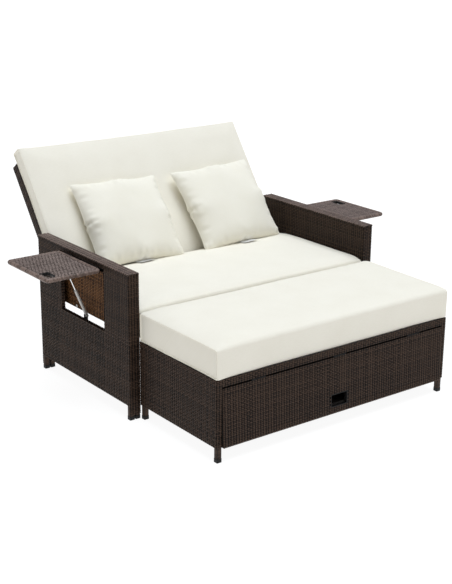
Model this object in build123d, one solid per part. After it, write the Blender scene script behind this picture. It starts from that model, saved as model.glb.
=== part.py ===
from build123d import *
import math
import os

# Double chaise lounger: a two-seat woven sofa with a reclining back, two
# fold-down side trays on gas stays, and a storage ottoman with a top-hung flap.
# Millimetres. X runs across the seat, the flap faces -Y and Z is up.
# Every piece is first placed with y = 0 at the front of the arms.
# Left is the -X side. A right piece is the mirror of the left one, except the
# trays and their stays, which are the left ones turned half round.

# Driving sizes of the sofa
seat_clear_width = 1116.0
arm_thickness = 49.0
arm_height = 575.0
arm_depth = 671.0
skirt_height = 56.0
weave = 3.0
seat_rail_bottom = 322.0
seat_rail_height = 25.0

# Arm frame
tube = 18.0
tube_wall = 1.2
slim_tube = 12.0
slim_rail = 15.0
inner_rail_depth = 10.0
end_panel_bottom = 20.0
end_arch_width = 14.0
end_arch_height = 10.0
cap_wall = 1.5
cap_height = 14.0
cap_floor = 4.0
cap_corner = 3.0

# Window in the arm, and the tray that folds into it
window_front = 171.0
window_length = 321.0
tray_sill_gap = 5.0
tray_gap = 4.5
tray_width = 232.0
tray_tube = 15.0
tray_wall = 1.5
tray_corner = 10.0
tray_panel_drop = 1.5
tray_panel_gap = 0.05
finger_slot_length = 62.0
finger_slot_width = 36.0
finger_slot_edge = 22.0
finger_slot_end = 26.0
cross_bar_width = 12.0
cross_bar_height = 6.0

# Tray hinges
tray_knuckle = 4.0
tray_pin = 2.0
tray_leaf = 2.0
tray_leaf_depth = 16.0
tray_hinge_spread = 95.0
tray_knuckle_length = 16.0
knuckle_gap = 0.4
tray_lug_gap = 0.1
tray_edge_offset = 5.0

# Gas stay under each tray, placed from the tray's hinge axis
stay_y_offset = 14.0
stay_foot_inset = 27.0
stay_foot_height = 8.0
stay_arm_out = 60.0
stay_arm_down = 24.0
stay_body_radius = 6.0
stay_body_length = 111.0
stay_bore_radius = 4.6
stay_rod_radius = 3.0
stay_piston_radius = 4.55
stay_piston_length = 6.0
stay_rod_cover = 22.0
stay_gland_length = 9.0
stay_plug_length = 8.0
stay_eye_radius = 6.0
stay_eye_half = 2.5
stay_neck_radius = 4.0
stay_pin_radius = 2.5
stay_foot_pin_radius = 3.0
stay_body_start = 10.0
running_gap = 0.05
stay_slot_back = 24.5
stay_slot_rise = 11.0
stay_slot_sink = 2.0
stay_slot_half = 3.8
stay_slot_rim = 3.0
stay_flange_gap = 1.0
stay_flange = 2.5
stay_head_radius = 5.5
stay_head_thickness = 2.0
foot_bracket_reach = 8.0
foot_bracket_rise = 6.0
foot_bracket_width = 18.0

# Seat
slat_width = 18.0
slat_count = 3
seat_rear_gap = 25.0
side_bar = 3.0
seat_cushion_thickness = 72.0
seat_cushion_rear_gap = 62.0
cushion_side_gap = 1.5
cushion_crown = 8.0
cushion_round = 11.0
cushion_draw_in = 4.0
soft_gap = 1.0
bolt_radius = 3.0
bolt_head_radius = 6.5
bolt_head_height = 4.0
bolt_rise = 9.0
bolt_first_y = 120.0
bolt_second_y = 430.0

# Backrest, in its own frame: z up along the back, y behind the pivot
pivot_from_rear = 82.0
pivot_z = 335.0
rest_lean = 36.5
back_side_gap = 3.0
back_length = 588.0
back_tail = 18.0
back_front = 15.0
back_tube_depth = 44.0
back_tube_width = 20.0
back_brace_depth = 20.0
back_bottom_tube = 13.0
hinge_plate = 3.0
pivot_radius = 5.0
pivot_disc_radius = 22.0
pivot_head_radius = 9.0
pivot_head_length = 4.5
pivot_head_gap = 0.3
upper_plate_reach = 120.0
upper_plate_width = 30.0
boss_gap = 0.2
back_cushion_start = 30.0
back_cushion_end = 630.0
back_cushion_thickness = 58.0

# Pillows, in the backrest's frame
pillow_size = 400.0
pillow_front_swell = 62.0
pillow_rear_swell = 36.0
pillow_seam = 3.0
pillow_draw_in = 14.0
pillow_bottom = 20.0
pillow_bottom_depth = 128.0
pillow_tilt = 2.4
pillow_left_place_share = -0.3638
pillow_left_turn = -1.8
pillow_right_place_share = 0.539427
pillow_right_turn = 3.0

# Ottoman
ottoman_side_lap = 2.0
ottoman_depth = 482.0
ottoman_height = 310.0
ottoman_back_gap = 1.5
ottoman_tube = 18.0
ottoman_rail_height = 25.0
ottoman_low_rail = 18.0
ottoman_cushion_overhang = 2.0
ottoman_cushion_thickness = 112.0
storage_floor = 3.0
flap_thickness = 20.0
flap_side_gap = 1.0
flap_tube = 16.0
flap_to_rail = 4.0
flap_ajar = 2.5
flap_knuckle = 2.6
flap_pin = 1.2
flap_leaf = 1.5
flap_leaf_depth = 14.0
flap_knuckle_length = 20.0
flap_hinge_spread = 380.0
flap_axis_setback = 1.0
flap_leaf_relief = 0.3
hand_hole_width = 76.0
hand_hole_height = 45.0
hand_hole_bottom = 28.0
hand_rim = 3.0
hand_rim_depth = 12.0
bumper_radius = 6.0
bumper_rise = 9.0
bumper_gap = 0.3

# Places worked out from the sizes above
overrun = 1.0
arm_inner = seat_clear_width / 2
arm_outer = arm_inner + arm_thickness
pivot_y = arm_depth - pivot_from_rear
seat_rear = pivot_y - seat_rear_gap
seat_cushion_depth = pivot_y - seat_cushion_rear_gap - soft_gap
back_half_width = arm_inner - side_bar - back_side_gap
outer_tube_out = arm_outer - weave
outer_tube_in = outer_tube_out - tube
inner_tube_in = arm_inner + weave
inner_tube_out = inner_tube_in + tube
rail_top = arm_height - weave
window_top = rail_top - tube
hinge_z = window_top - tray_knuckle
sill_top = hinge_z - tray_edge_offset - tray_width - tray_sill_gap
window_rear = window_front + window_length
low_rail_bottom = skirt_height + weave
low_rail_top = low_rail_bottom + tube
seat_rail_top = seat_rail_bottom + seat_rail_height
deck_top = seat_rail_top + weave
hinge_x = arm_outer
tray_mid_y = window_front + window_length / 2
tray_length = window_length - 2 * tray_gap
tray_top = hinge_z + tray_knuckle
tray_inner = hinge_x + tray_edge_offset
tray_outer = tray_inner + tray_width
tray_tube_z = tray_top - tray_tube / 2
tray_panel_top = tray_top - tray_panel_drop
tray_panel_low = tray_panel_top - weave
tray_tube_reach = math.sqrt((tray_tube / 2) ** 2 - (tray_panel_low - tray_tube_z) ** 2)
tray_panel_inset = tray_tube / 2 + tray_tube_reach + tray_panel_gap
stay_y = tray_mid_y + stay_y_offset
stay_foot_x = hinge_x - stay_foot_inset
stay_foot_z = sill_top + stay_foot_height
stay_top_x = hinge_x + stay_arm_out
stay_top_z = hinge_z - stay_arm_down
stay_open = math.hypot(stay_top_x - stay_foot_x, stay_top_z - stay_foot_z)
stay_open_tilt = math.degrees(math.atan2(stay_top_x - stay_foot_x, stay_top_z - stay_foot_z))
folded_x = hinge_x - stay_arm_down
folded_z = hinge_z - stay_arm_out
stay_closed = math.hypot(folded_x - stay_foot_x, folded_z - stay_foot_z)
ottoman_half = arm_inner + ottoman_side_lap
ottoman_cushion_width = 2 * (ottoman_half + ottoman_cushion_overhang)
ottoman_front = -ottoman_depth
ottoman_back = -ottoman_back_gap
ottoman_rail_top = ottoman_height - weave
ottoman_rail_bottom = ottoman_rail_top - ottoman_rail_height
flap_axis_y = ottoman_front + flap_axis_setback
flap_axis_z = ottoman_rail_bottom - flap_knuckle
flap_top = flap_axis_z - flap_knuckle
flap_rear = ottoman_front + flap_thickness
storage_front = flap_rear + flap_to_rail
flap_half = ottoman_half - weave - ottoman_tube - flap_side_gap
flap_swing = (flap_axis_z - skirt_height) * math.sin(math.radians(flap_ajar))
front_most = flap_axis_y - flap_swing - flap_axis_setback * math.cos(math.radians(flap_ajar))
back_rear = weave + back_tube_depth + weave - back_front
back_tip = back_length * math.sin(math.radians(rest_lean))
rear_most = pivot_y + back_tip + back_rear * math.cos(math.radians(rest_lean))
row_shift = -(front_most + rear_most) / 2


# Shapes used again and again

def block(x0, x1, y0, y1, z0, z1):
    """A box between two corners."""
    size = Box(abs(x1 - x0), abs(y1 - y0), abs(z1 - z0))
    return Pos((x0 + x1) / 2, (y0 + y1) / 2, (z0 + z1) / 2) * size


def hollow_bar(x0, x1, y0, y1, z0, z1, run):
    """A rectangular tube along the axis named by run."""
    outer = block(x0, x1, y0, y1, z0, z1)
    low = [min(x0, x1), min(y0, y1), min(z0, z1)]
    high = [max(x0, x1), max(y0, y1), max(z0, z1)]
    for axis in range(len(low)):
        open_end = "xyz"[axis] == run
        low[axis] += -overrun if open_end else tube_wall
        high[axis] += overrun if open_end else -tube_wall
    return outer - block(low[0], high[0], low[1], high[1], low[2], high[2])


def rod_x(x0, x1, y, z, radius):
    """A round bar along X."""
    return Pos((x0 + x1) / 2, y, z) * Rot(0, 90, 0) * Cylinder(radius, abs(x1 - x0))


def rod_y(x, y0, y1, z, radius):
    """A round bar along Y."""
    return Pos(x, (y0 + y1) / 2, z) * Rot(90, 0, 0) * Cylinder(radius, abs(y1 - y0))


def mirrored(shape):
    """The same shape on the other side of the centre plane."""
    return mirror(shape, about=Plane.YZ)


def both_sides(shapes):
    """Shapes given for one side, with their mirrors."""
    return list(shapes) + [mirrored(shape) for shape in shapes]


def turned(shape):
    """The shape turned half round about the upright line midway between the trays."""
    return shape.rotate(Axis((0, tray_mid_y, 0), (0, 0, 1)), 180)


def on_back(shape):
    """Moves a shape from the backrest's own frame to its place at rest."""
    return Pos(0, pivot_y, pivot_z) * Rot(-rest_lean, 0, 0) * shape


def on_flap(shape):
    """Swings a shape of the closed flap out to where it stands at rest."""
    return shape.rotate(Axis((0, flap_axis_y, flap_axis_z), (1, 0, 0)), -flap_ajar)


parts = {}


def keep(name, *shapes):
    """Keeps a piece, or a group of separate solids, under its node name."""
    parts[name] = [solid for shape in shapes for solid in shape.solids()]


# Soft forms: outlines with drawn-in sides, lofted through a few heights

def drawn_outline(width, depth, draw_in, inset, height):
    """A rectangle whose four sides bow inward between its corners."""
    half_x = width / 2 - inset
    half_y = depth / 2 - inset
    corners = [(-half_x, -half_y), (half_x, -half_y), (half_x, half_y), (-half_x, half_y)]
    middles = [(0, draw_in - half_y), (half_x - draw_in, 0), (0, half_y - draw_in), (draw_in - half_x, 0)]
    edges = []
    for start in range(len(corners)):
        end = corners[(start + 1) % len(corners)]
        edges.append(ThreePointArc(corners[start], middles[start], end))
    return Pos(0, 0, height) * make_face(Wire(edges))


crown_inset_shares = (0.24, 0.6)
crown_height_shares = (0.7, 1.0)


def boxed_cushion(width, depth, thickness, crown):
    """A boxed cushion lying on z = 0, with rounded edges and a crowned top."""
    levels = [(cushion_round / 2, 0), (0, cushion_round), (0, thickness - cushion_round)]
    levels.append((cushion_round, thickness))
    for inset_share, height_share in zip(crown_inset_shares, crown_height_shares):
        levels.append((inset_share * depth / 2 + cushion_round, thickness + height_share * crown))
    faces = [drawn_outline(width, depth, cushion_draw_in, inset, height) for inset, height in levels]
    return loft(faces, ruled=True)


swell_inset_shares = (0.12, 0.26, 0.42, 0.62, 0.8)
swell_height_shares = (0.4, 0.68, 0.86, 0.97, 1.0)


def knife_edge_pillow(size, front, rear):
    """A square pillow with pulled-out corners, standing on its lower edge, front towards -Y."""
    levels = [(0, pillow_seam / 2)]
    for inset_share, height_share in zip(swell_inset_shares, swell_height_shares):
        levels.append((inset_share * size / 2, height_share * front))
    rear_levels = [(0, pillow_seam / 2)]
    for inset_share, height_share in zip(swell_inset_shares, swell_height_shares):
        rear_levels.append((inset_share * size / 2, height_share * rear))
    stack = [(inset, -height) for inset, height in reversed(rear_levels)] + levels
    faces = []
    for inset, height in stack:
        draw_in = pillow_draw_in * (1 - 2 * inset / size)
        faces.append(drawn_outline(size, size, draw_in, inset, height))
    return Rot(90, 0, 0) * loft(faces, ruled=True)


# Arms: two legs at each end joined by rails, skinned with woven panels

def arm_legs():
    legs = []
    for x0, x1 in ((inner_tube_in, inner_tube_out), (outer_tube_in, outer_tube_out)):
        for y0 in (weave, arm_depth - weave - tube):
            legs.append(hollow_bar(-x0, -x1, y0, y0 + tube, cap_floor, rail_top, "z"))
    return legs


def arm_rails():
    front = weave + tube
    rear = arm_depth - weave - tube
    jamb_in = outer_tube_out - slim_tube
    rails = [
        hollow_bar(-outer_tube_in, -outer_tube_out, front, rear, window_top, rail_top, "y"),
        hollow_bar(-inner_tube_in, -inner_tube_out, front, rear, window_top, rail_top, "y"),
        hollow_bar(-outer_tube_in, -outer_tube_out, front, rear, low_rail_bottom, low_rail_top, "y"),
        hollow_bar(-jamb_in, -outer_tube_out, window_front, window_rear, sill_top - slim_rail, sill_top,
                   "y"),
        hollow_bar(-inner_tube_in, -(inner_tube_in + inner_rail_depth), front, rear, seat_rail_bottom,
                   seat_rail_bottom + tube, "y"),
    ]
    for y0 in (window_front - slim_rail, window_rear):
        rails.append(
            hollow_bar(-jamb_in, -outer_tube_out, y0, y0 + slim_rail, low_rail_top, window_top, "z"))
    for y0 in (weave, rear):
        for z0 in (low_rail_bottom, window_top):
            rails.append(hollow_bar(-inner_tube_out, -outer_tube_in, y0, y0 + tube, z0, z0 + tube, "x"))
    return rails


def arm_outer_weave():
    panel = block(-outer_tube_out, -arm_outer, weave, arm_depth - weave, skirt_height, rail_top)
    window = block(-outer_tube_out + overrun, -arm_outer - overrun, window_front, window_rear, sill_top,
                   window_top)
    return panel - window


def arm_inner_weave():
    return block(-arm_inner, -inner_tube_in, weave, arm_depth - weave, seat_rail_bottom, rail_top)


def arm_top_weave():
    return block(-arm_inner, -arm_outer, 0, arm_depth, rail_top, arm_height)


def arm_end_weave(y0):
    """An end panel with a small arch between the two feet."""
    panel = block(-arm_inner, -arm_outer, y0, y0 + weave, end_panel_bottom, rail_top)
    middle = (inner_tube_out + outer_tube_in) / 2
    arch = block(-middle + end_arch_width / 2, -middle - end_arch_width / 2, y0 - overrun,
                 y0 + weave + overrun, end_panel_bottom - overrun, end_panel_bottom + end_arch_height)
    return panel - arch


def foot_cap(x0, x1, y0, y1):
    """A moulded cap around the bottom of a square leg."""
    outer = block(x0 - cap_wall, x1 + cap_wall, y0 - cap_wall, y1 + cap_wall, 0, cap_height)
    outer = fillet(outer.edges().filter_by(Axis.Z), cap_corner)
    return outer - block(x0, x1, y0, y1, cap_floor, cap_height + overrun)


def sofa_caps():
    caps = []
    for x0, x1 in ((inner_tube_in, inner_tube_out), (outer_tube_in, outer_tube_out)):
        for y0 in (weave, arm_depth - weave - tube):
            caps.append(foot_cap(-x1, -x0, y0, y0 + tube))
    return both_sides(caps)


# Seat: a welded tube frame on two side bars, a woven deck and a cushion

bolt_z = seat_rail_bottom + bolt_rise
bolt_places = (bolt_first_y, bolt_second_y)
bolt_inner = arm_inner - side_bar - tube
bolt_outer = inner_tube_in + inner_rail_depth


def bolt_holes(shape):
    """Drills the seat bolts' holes through whatever they pass."""
    for y in bolt_places:
        hole = rod_x(-bolt_inner + overrun, -bolt_outer - overrun, y, bolt_z, bolt_radius + running_gap)
        shape = shape - hole - mirrored(hole)
    return shape


def seat_bolts():
    bolts = []
    for y in bolt_places:
        shank = rod_x(-bolt_inner, -bolt_outer, y, bolt_z, bolt_radius)
        head = rod_x(-bolt_inner + bolt_head_height, -bolt_inner, y, bolt_z, bolt_head_radius)
        nut = rod_x(-bolt_outer, -bolt_outer - bolt_head_height, y, bolt_z, bolt_head_radius)
        bolts.append(shank + head + nut)
    return both_sides(bolts)


def seat_frame():
    inner = arm_inner - side_bar
    front = weave + weave
    bars = [hollow_bar(-arm_inner, arm_inner, front, front + tube, seat_rail_bottom, seat_rail_top, "x")]
    bars.append(hollow_bar(-inner + tube, inner - tube, seat_rear - tube, seat_rear, seat_rail_bottom,
                           seat_rail_top, "x"))
    side = hollow_bar(-inner, -inner + tube, front + tube, seat_rear, seat_rail_bottom, seat_rail_top, "y")
    bars += both_sides([bolt_holes(side)])
    pitch = 2 * inner / (slat_count + 1)
    for index in range(slat_count):
        x = -inner + (index + 1) * pitch
        bars.append(hollow_bar(x - slat_width / 2, x + slat_width / 2, front + tube, seat_rear - tube,
                               seat_rail_top - slat_width, seat_rail_top, "y"))
    return bars


def side_bars():
    """Flat bars that carry the seat frame and end in the backrest's pivot plates."""
    inner = arm_inner - side_bar
    bar = block(-inner, -arm_inner, weave + weave + tube, pivot_y, seat_rail_bottom, seat_rail_top)
    disc = rod_x(-inner, -arm_inner, pivot_y, pivot_z, pivot_disc_radius)
    boss_end = -back_half_width - boss_gap
    boss = rod_x(-inner, boss_end, pivot_y, pivot_z, pivot_head_radius)
    return both_sides([bolt_holes(bar + disc + boss)])


def seat_deck():
    """The woven deck and the strip that turns down over the front rail."""
    deck = block(-arm_inner, arm_inner, weave, seat_rear, seat_rail_top, deck_top)
    return [deck, block(-arm_inner, arm_inner, weave, weave + weave, seat_rail_bottom, seat_rail_top)]


def seat_cushion():
    cushion = boxed_cushion(2 * (arm_inner - cushion_side_gap), seat_cushion_depth, seat_cushion_thickness,
                            cushion_crown)
    return Pos(0, soft_gap + seat_cushion_depth / 2, deck_top) * cushion


# Backrest, drawn upright about its pivot and then leaned

back_rail_front = weave - back_front
back_rail_rear = back_rail_front + back_tube_depth
back_rail_out = back_half_width - hinge_plate


def back_rails():
    """Side, top and bottom tubes with two upright braces behind the seating face."""
    top = back_length - weave
    bottom = -back_tail + weave
    hole = rod_x(-back_half_width - overrun, 0, 0, 0, pivot_radius + running_gap)
    side = hollow_bar(-back_rail_out, -back_rail_out + back_tube_width, back_rail_front, back_rail_rear,
                      bottom, top, "z") - hole
    rails = both_sides([side])
    inner = back_rail_out - back_tube_width
    for z0 in (back_bottom_tube, top - back_tube_width):
        rails.append(hollow_bar(-inner, inner, back_rail_front, back_rail_rear, z0, z0 + back_tube_width,
                                "x"))
    brace = hollow_bar(-inner / 3 - tube / 2, -inner / 3 + tube / 2, back_rail_front,
                       back_rail_front + back_brace_depth, back_bottom_tube + back_tube_width,
                       top - back_tube_width, "z")
    rails += both_sides([brace])
    return rails


def back_face(y0):
    return block(-back_rail_out, back_rail_out, y0, y0 + weave, -back_tail, back_length)


def back_edges():
    """Woven strips that close the sides, the top and the bottom of the back."""
    side = block(-back_rail_out, -back_half_width, -back_front, back_rear, upper_plate_reach, back_length)
    strips = both_sides([side])
    for z0 in (-back_tail, back_length - weave):
        strips.append(block(-back_rail_out, back_rail_out, back_rail_front, back_rail_rear, z0, z0 + weave))
    return strips


def upper_plates():
    """Backrest halves of the ratchet hinges, on the outer face of the side tubes."""
    end = upper_plate_reach - upper_plate_width / 2
    plate = block(-back_rail_out, -back_half_width, -back_front, upper_plate_width - back_front, 0, end)
    disc = rod_x(-back_rail_out, -back_half_width, 0, 0, back_tail)
    hole = rod_x(-back_rail_out + overrun, -back_half_width - overrun, 0, 0, pivot_radius + running_gap)
    return both_sides([plate + disc - hole])


def pivot_bolts():
    """Shoulder bolts from the side bars' bosses through the hinge plates and side tubes."""
    start = -back_half_width - boss_gap
    tube_inner = -back_rail_out + back_tube_width
    shank = rod_x(start, tube_inner + pivot_head_gap, 0, 0, pivot_radius)
    head = rod_x(tube_inner + pivot_head_gap, tube_inner + pivot_head_gap + pivot_head_length, 0, 0,
                 pivot_head_radius)
    return both_sides([shank + head])


def back_cushion():
    length = back_cushion_end - back_cushion_start
    width = 2 * (arm_inner - cushion_side_gap)
    cushion = boxed_cushion(width, length, back_cushion_thickness, cushion_crown)
    return Pos(0, -back_front, back_cushion_start + length / 2) * Rot(90, 0, 0) * cushion


def pillow(x, turn):
    """A pillow that stands on the seat and lies against the back cushion."""
    form = knife_edge_pillow(pillow_size, pillow_front_swell, pillow_rear_swell)
    form = Rot(-pillow_tilt, 0, 0) * Rot(0, -turn, 0) * Pos(0, 0, pillow_size / 2) * form
    rise = pillow_size / 2 * math.sin(math.radians(abs(turn)))
    return Pos(x, -pillow_bottom_depth, pillow_bottom + rise) * form


# Trays: a bent round tube with a woven panel, hinged on the arm's top rail

def tray_ring():
    """A rounded rectangle of tube, with a flat bar across it for the stay."""
    inset = tray_tube / 2
    x0, x1 = tray_inner + inset, tray_outer - inset
    y0, y1 = tray_mid_y - tray_length / 2 + inset, tray_mid_y + tray_length / 2 - inset
    path = Pos((x0 + x1) / 2, (y0 + y1) / 2, tray_tube_z) * RectangleRounded(
        x1 - x0, y1 - y0, tray_corner).wire()
    start = path @ 0
    section = Plane(start, z_dir=path % 0)
    ring = sweep(section * (Circle(inset) - Circle(inset - tray_wall)), path)
    bar_y = stay_y + stay_eye_half + stay_flange_gap
    bar = block(x0 + inset - tube_wall, x1 - inset + tube_wall, bar_y, bar_y + cross_bar_width,
                tray_panel_low - cross_bar_height, tray_panel_low)
    return [mirrored(ring), mirrored(bar)]


def finger_slot():
    """The slot near the tray's outer front corner."""
    x1 = tray_outer - finger_slot_edge
    y0 = tray_mid_y - tray_length / 2 + finger_slot_end
    return block(-x1, -x1 + finger_slot_width, y0, y0 + finger_slot_length, tray_top + overrun,
                 tray_top - tray_tube)


def tray_panel():
    x0, x1 = tray_inner + tray_panel_inset, tray_outer - tray_panel_inset
    y0 = tray_mid_y - tray_length / 2 + tray_panel_inset
    y1 = tray_mid_y + tray_length / 2 - tray_panel_inset
    radius = tray_corner + tray_tube / 2 - tray_panel_inset
    outline = Pos(-(x0 + x1) / 2, tray_mid_y, tray_panel_low) * RectangleRounded(x1 - x0, y1 - y0, radius)
    return extrude(outline, weave) - finger_slot()


def knuckle_row(middle, length, gap, moving):
    """Spans of the hinge's knuckles along its pin: one fixed in the middle, one moving at each end."""
    if not moving:
        return [(middle - length / 2, middle + length / 2)]
    near = length / 2 + gap
    return [(middle - near - length, middle - near), (middle + near, middle + near + length)]


def tray_hinge_places():
    return (tray_mid_y - tray_hinge_spread, tray_mid_y + tray_hinge_spread)


def tray_hinge(moving):
    leaves = []
    for middle in tray_hinge_places():
        pieces = []
        for y0, y1 in knuckle_row(middle, tray_knuckle_length, knuckle_gap, moving):
            barrel = rod_y(-hinge_x, y0, y1, hinge_z, tray_knuckle)
            if moving:
                leaf = block(-hinge_x, -tray_inner + tray_lug_gap, y0, y1, hinge_z - tray_knuckle,
                             hinge_z - tray_knuckle + tray_leaf)
            else:
                leaf = block(-hinge_x, -hinge_x + tray_leaf_depth, y0, y1,
                             hinge_z + tray_knuckle - tray_leaf, hinge_z + tray_knuckle)
            hole = rod_y(-hinge_x, y0 - overrun, y1 + overrun, hinge_z, tray_pin + running_gap)
            pieces.append(barrel + leaf - hole)
        leaves += pieces
    return leaves


def tray_pins():
    reach = 1.5 * tray_knuckle_length + knuckle_gap
    return [rod_y(-hinge_x, middle - reach, middle + reach, hinge_z, tray_pin)
            for middle in tray_hinge_places()]


def stay_bracket():
    """A flange under the tray with a window that leaves the rod's pin free to run."""
    y0 = stay_y + stay_eye_half + stay_flange_gap
    reach = stay_slot_half + stay_slot_rim
    plate = block(-stay_top_x + stay_slot_back + reach, -stay_top_x - reach, y0, y0 + stay_flange,
                  stay_top_z - stay_slot_sink - reach, tray_panel_low - cross_bar_height)
    width = stay_slot_back + 2 * stay_slot_half
    height = stay_slot_rise + stay_slot_sink + 2 * stay_slot_half
    outline = Rot(90, 0, 0) * RectangleRounded(width, height, stay_slot_half)
    middle = Pos(-stay_top_x + stay_slot_back / 2, y0 - overrun,
                 stay_top_z + (stay_slot_rise - stay_slot_sink) / 2)
    return plate - extrude(middle * outline, stay_flange + 2 * overrun, dir=(0, 1, 0))


def along_stay(shape):
    """Turns a shape drawn upwards from the stay's foot to its slope at rest."""
    return Pos(-stay_foot_x, stay_y, stay_foot_z) * Rot(0, -stay_open_tilt, 0) * shape


def eye(radius, hole):
    """A flat eye around the origin, its hole along Y."""
    disc = rod_y(0, -stay_eye_half, stay_eye_half, 0, radius)
    return disc - rod_y(0, -stay_eye_half - overrun, stay_eye_half + overrun, 0, hole) if hole else disc


def stay_body():
    """The stay's cylinder, closed at the foot, with a gland at its mouth."""
    start, end = stay_body_start, stay_body_start + stay_body_length
    barrel = Pos(0, 0, (start + end) / 2) * Cylinder(stay_body_radius, end - start)
    bore_start, bore_end = start + stay_plug_length, end - stay_gland_length
    bore = Pos(0, 0, (bore_start + bore_end) / 2) * Cylinder(stay_bore_radius, bore_end - bore_start)
    mouth = Pos(0, 0, end) * Cylinder(stay_rod_radius + running_gap, 2 * stay_gland_length + 2 * overrun)
    neck = Pos(0, 0, start / 2) * Cylinder(stay_neck_radius, start)
    foot = eye(stay_eye_radius, 0) + neck + barrel - bore - mouth
    foot = foot - rod_y(0, -stay_eye_radius, stay_eye_radius, 0, stay_foot_pin_radius + running_gap)
    limit = 2 * stay_eye_radius
    sides = block(-limit, limit, stay_eye_half, limit, -limit, start - cap_wall)
    return along_stay(foot - sides - mirror(sides, about=Plane.XZ))


def stay_rod():
    """The rod with its piston inside the cylinder and a pinned eye at the tray's end."""
    end = stay_body_start + stay_body_length
    low = end - stay_gland_length - stay_rod_cover
    shaft = Pos(0, 0, (low + stay_open) / 2) * Cylinder(stay_rod_radius, stay_open - low)
    piston = Pos(0, 0, low + stay_piston_length / 2) * Cylinder(stay_piston_radius, stay_piston_length)
    flange_far = stay_eye_half + stay_flange_gap + stay_flange + stay_flange_gap
    pin = rod_y(0, 0, flange_far, 0, stay_pin_radius)
    head = rod_y(0, flange_far, flange_far + stay_head_thickness, 0, stay_head_radius)
    top = Pos(0, 0, stay_open) * (eye(stay_eye_radius, 0) + pin + head)
    limit = 2 * stay_eye_radius
    trim = block(-limit, limit, stay_eye_half, limit, stay_open - limit, stay_open - stay_eye_radius)
    return along_stay(shaft - trim - mirror(trim, about=Plane.XZ) + piston + top)


def sill_bracket():
    """An angle on the sill's inner face, its flange beside the stay's foot."""
    jamb_in = outer_tube_out - slim_tube
    y0 = stay_y + stay_eye_half + stay_flange_gap
    base = block(-jamb_in, -jamb_in + stay_flange, y0 + stay_flange - foot_bracket_width, y0 + stay_flange,
                 sill_top - slim_rail + overrun, sill_top - overrun)
    flange = block(-jamb_in + stay_flange, -stay_foot_x + foot_bracket_reach, y0, y0 + stay_flange,
                   sill_top - slim_rail + overrun, stay_foot_z + foot_bracket_rise)
    web = block(-jamb_in, -jamb_in + stay_flange, y0, y0 + stay_flange, sill_top - slim_rail + overrun,
                sill_top - overrun)
    hole = rod_y(-stay_foot_x, y0 - overrun, y0 + stay_flange + overrun, stay_foot_z, stay_foot_pin_radius)
    return base + web + flange - hole


def foot_pin():
    """The rivet through the bracket's flange and the stay's foot."""
    y0 = stay_y + stay_eye_half + stay_flange_gap
    near = stay_y - stay_eye_half - stay_flange_gap
    shank = rod_y(-stay_foot_x, near, y0, stay_foot_z, stay_foot_pin_radius)
    head = rod_y(-stay_foot_x, near - stay_head_thickness, near, stay_foot_z, stay_head_radius)
    tail = rod_y(-stay_foot_x, y0, y0 + stay_flange, stay_foot_z, stay_foot_pin_radius - running_gap)
    return shank + head + tail


# Ottoman: a tube frame skinned with weave, a storage floor and a cushion

leg_out = ottoman_half - weave
leg_in = leg_out - ottoman_tube
leg_rear = ottoman_back - weave
front_leg_front = ottoman_front + weave
front_leg_rear = front_leg_front + ottoman_tube
rear_leg_front = leg_rear - ottoman_tube
ottoman_low_bottom = skirt_height + weave
ottoman_low_top = ottoman_low_bottom + ottoman_low_rail
side_rail_in = leg_out - ottoman_low_rail
floor_top = ottoman_low_top + storage_floor


def ottoman_legs():
    """Four legs at the corners. The flap hangs between the front two."""
    legs = []
    for y0 in (front_leg_front, rear_leg_front):
        legs.append(hollow_bar(-leg_out, -leg_in, y0, y0 + ottoman_tube, cap_floor,
                               ottoman_rail_bottom, "z"))
    return both_sides(legs)


def ottoman_top_rails():
    rails = [hollow_bar(-leg_out, leg_out, front_leg_front, front_leg_rear, ottoman_rail_bottom,
                        ottoman_rail_top, "x")]
    rails.append(hollow_bar(-leg_out, leg_out, rear_leg_front, leg_rear, ottoman_rail_bottom,
                            ottoman_rail_top, "x"))
    rails += both_sides([hollow_bar(-leg_out, -leg_in, front_leg_rear, rear_leg_front,
                                    ottoman_rail_bottom, ottoman_rail_top, "y")])
    pitch = 2 * leg_in / (slat_count + 1)
    for index in range(slat_count):
        x = -leg_in + (index + 1) * pitch
        rails.append(hollow_bar(x - slat_width / 2, x + slat_width / 2, front_leg_rear, rear_leg_front,
                                ottoman_rail_top - slat_width, ottoman_rail_top, "y"))
    return rails


def ottoman_low_rails():
    """Rails round the storage floor. The front one stands back behind the flap."""
    rails = [hollow_bar(-side_rail_in, side_rail_in, storage_front, storage_front + ottoman_low_rail,
                        ottoman_low_bottom, ottoman_low_top, "x")]
    rails.append(hollow_bar(-leg_in, leg_in, leg_rear - ottoman_low_rail, leg_rear, ottoman_low_bottom,
                            ottoman_low_top, "x"))
    rails += both_sides([hollow_bar(-leg_out, -side_rail_in, front_leg_rear, rear_leg_front,
                                    ottoman_low_bottom, ottoman_low_top, "y")])
    return rails


def ottoman_side_weave():
    """A side panel that also turns round the front of its corner leg."""
    side = block(-leg_out, -ottoman_half, front_leg_front, leg_rear, skirt_height, ottoman_height)
    turn = block(-leg_in, -ottoman_half, ottoman_front, front_leg_front, skirt_height, ottoman_rail_bottom)
    return side + turn


def ottoman_rear_weave():
    return block(-ottoman_half, ottoman_half, leg_rear, ottoman_back, skirt_height, ottoman_height)


def ottoman_front_band():
    return block(-ottoman_half, ottoman_half, ottoman_front, ottoman_front + weave, ottoman_rail_bottom,
                 ottoman_height)


def ottoman_deck():
    return block(-leg_out, leg_out, front_leg_front, leg_rear, ottoman_rail_top, ottoman_height)


def ottoman_floor():
    return block(-leg_in, leg_in, storage_front, leg_rear, ottoman_low_top, floor_top)


def ottoman_caps():
    caps = []
    for y0 in (front_leg_front, rear_leg_front):
        caps.append(foot_cap(-leg_out, -leg_in, y0, y0 + ottoman_tube))
    return both_sides(caps)


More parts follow.
